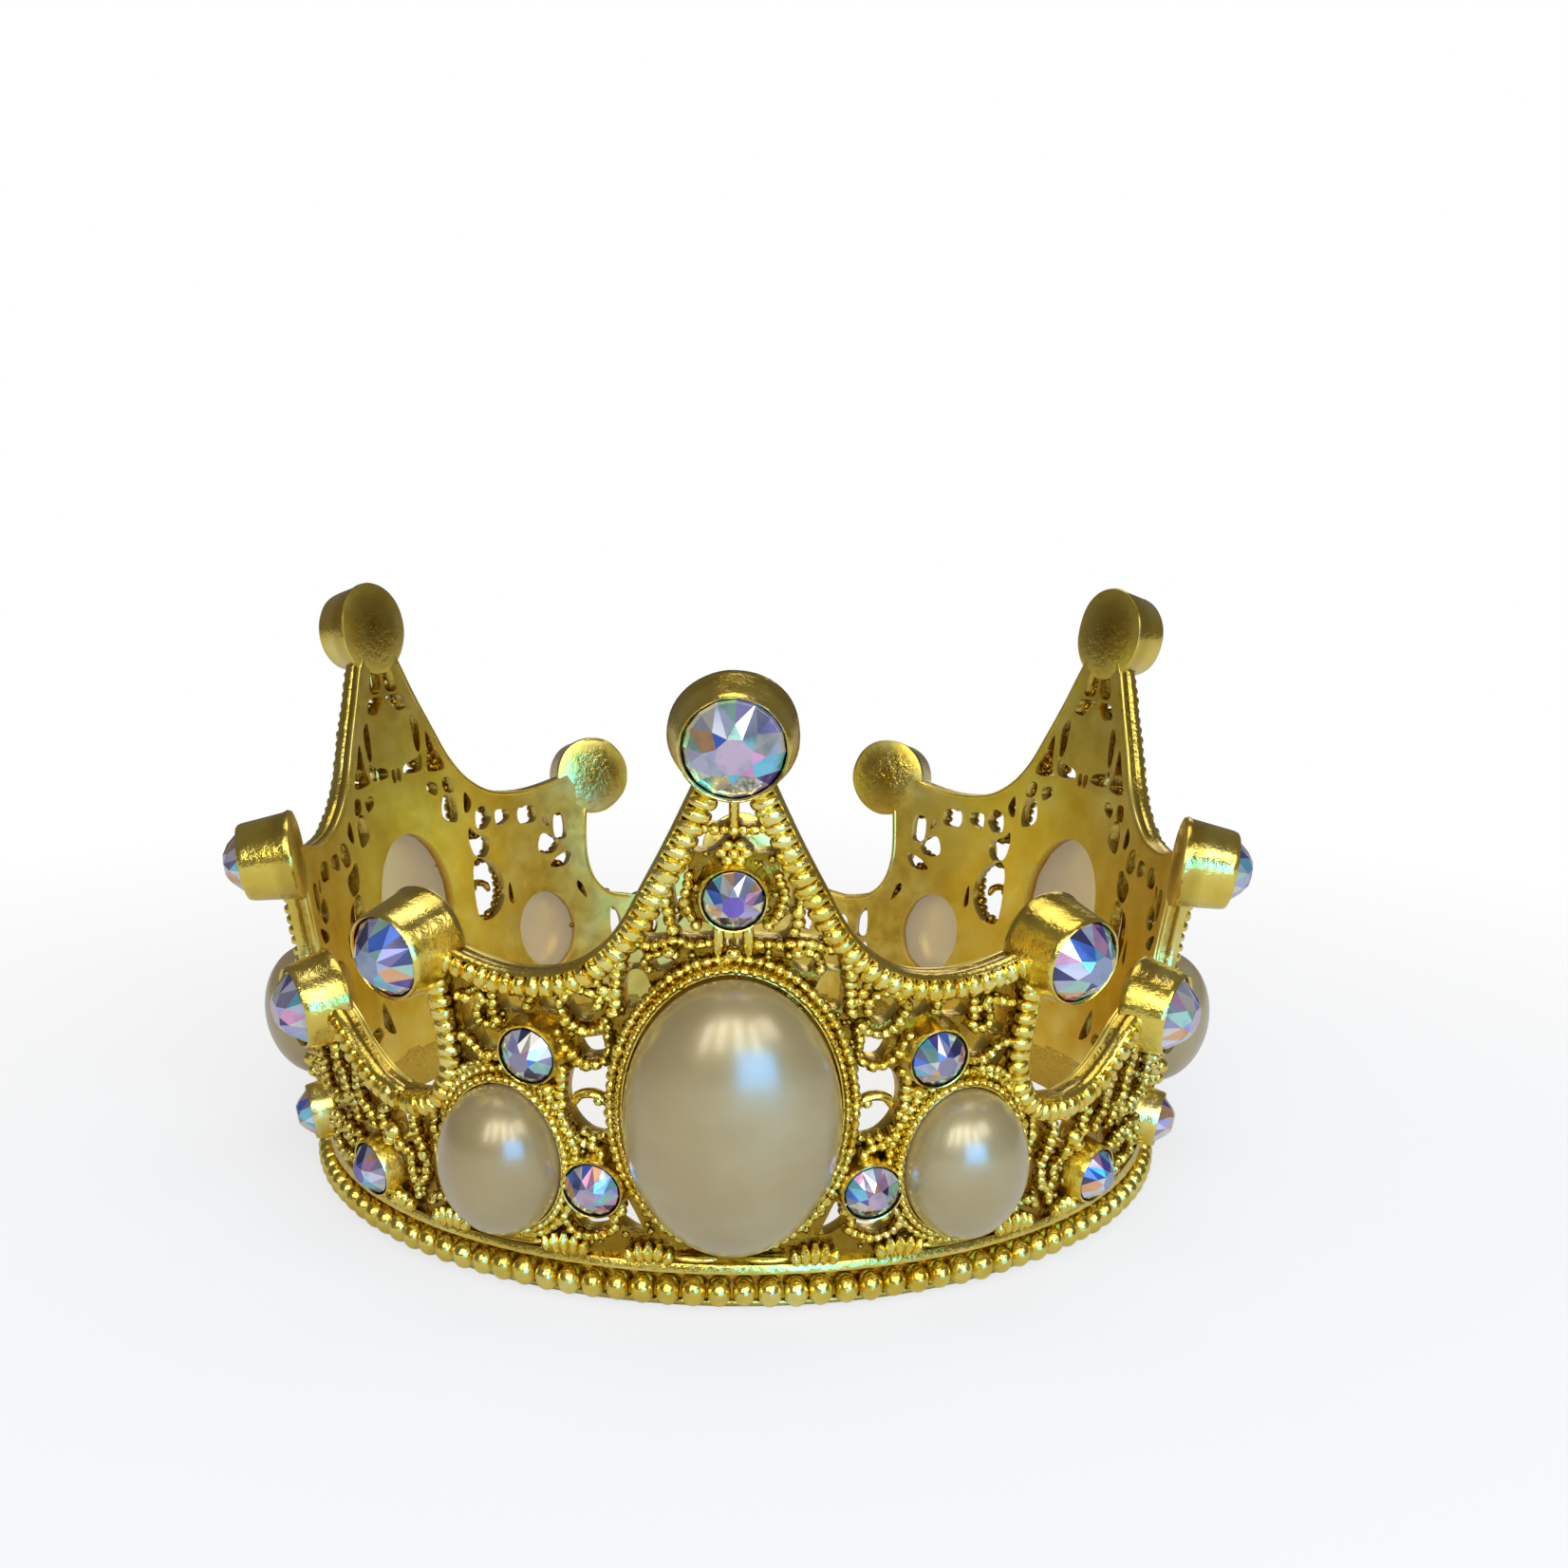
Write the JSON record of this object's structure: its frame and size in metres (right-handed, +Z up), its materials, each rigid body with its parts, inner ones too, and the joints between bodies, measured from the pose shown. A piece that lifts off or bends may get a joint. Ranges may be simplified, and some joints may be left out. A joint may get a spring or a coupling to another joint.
{
  "type": "crown hair ornament",
  "caption": "Small flared gilt crown with peaked openwork walls, oval pearl cabochons, faceted iridescent stones and stone-set finials, for wearing over a bun.",
  "frame": {"origin": "middle of the box of the crown's plan, at the level of the surface that the foot stands on; the ring's own axis is 1.55 mm from it along +Y", "axes": "+Z up through the open crown, -Y towards the front peak, +X to the right of someone facing the front peak"},
  "size_m": [0.0742, 0.074, 0.0406],
  "materials": {
    "gilt": "bright yellow gold plating on a cast alloy, mirror-like on the high spots and dull brown in the recesses",
    "pearl": "glossy ivory imitation pearl",
    "crystal": "clear faceted stone with an iridescent coating"
  },
  "bodies": {
    "root": {"panel_front": "gilt", "large_pearl_front": "pearl", "small_pearl_l_front": "pearl", "small_pearl_r_front": "pearl", "tall_finial_stone_front": "crystal", "flank_finial_stone_l_front": "crystal", "flank_finial_stone_r_front": "crystal", "dip_finial_stone_front": "crystal", "peak_stone_front": "crystal", "mid_stone_l_front": "crystal", "mid_stone_r_front": "crystal", "low_stone_l_front": "crystal", "low_stone_r_front": "crystal", "dip_stone_l_front": "crystal", "dip_stone_r_front": "crystal", "panel_right": "gilt", "large_pearl_right": "pearl", "small_pearl_l_right": "pearl", "small_pearl_r_right": "pearl", "tall_finial_stone_right": "crystal", "flank_finial_stone_l_right": "crystal", "flank_finial_stone_r_right": "crystal", "dip_finial_stone_right": "crystal", "peak_stone_right": "crystal", "mid_stone_l_right": "crystal", "mid_stone_r_right": "crystal", "low_stone_l_right": "crystal", "low_stone_r_right": "crystal", "dip_stone_l_right": "crystal", "dip_stone_r_right": "crystal", "panel_left": "gilt", "large_pearl_left": "pearl", "small_pearl_l_left": "pearl", "small_pearl_r_left": "pearl", "tall_finial_stone_left": "crystal", "flank_finial_stone_l_left": "crystal", "flank_finial_stone_r_left": "crystal", "dip_finial_stone_left": "crystal", "peak_stone_left": "crystal", "mid_stone_l_left": "crystal", "mid_stone_r_left": "crystal", "low_stone_l_left": "crystal", "low_stone_r_left": "crystal", "dip_stone_l_left": "crystal", "dip_stone_r_left": "crystal"}
  },
  "joints": []
}
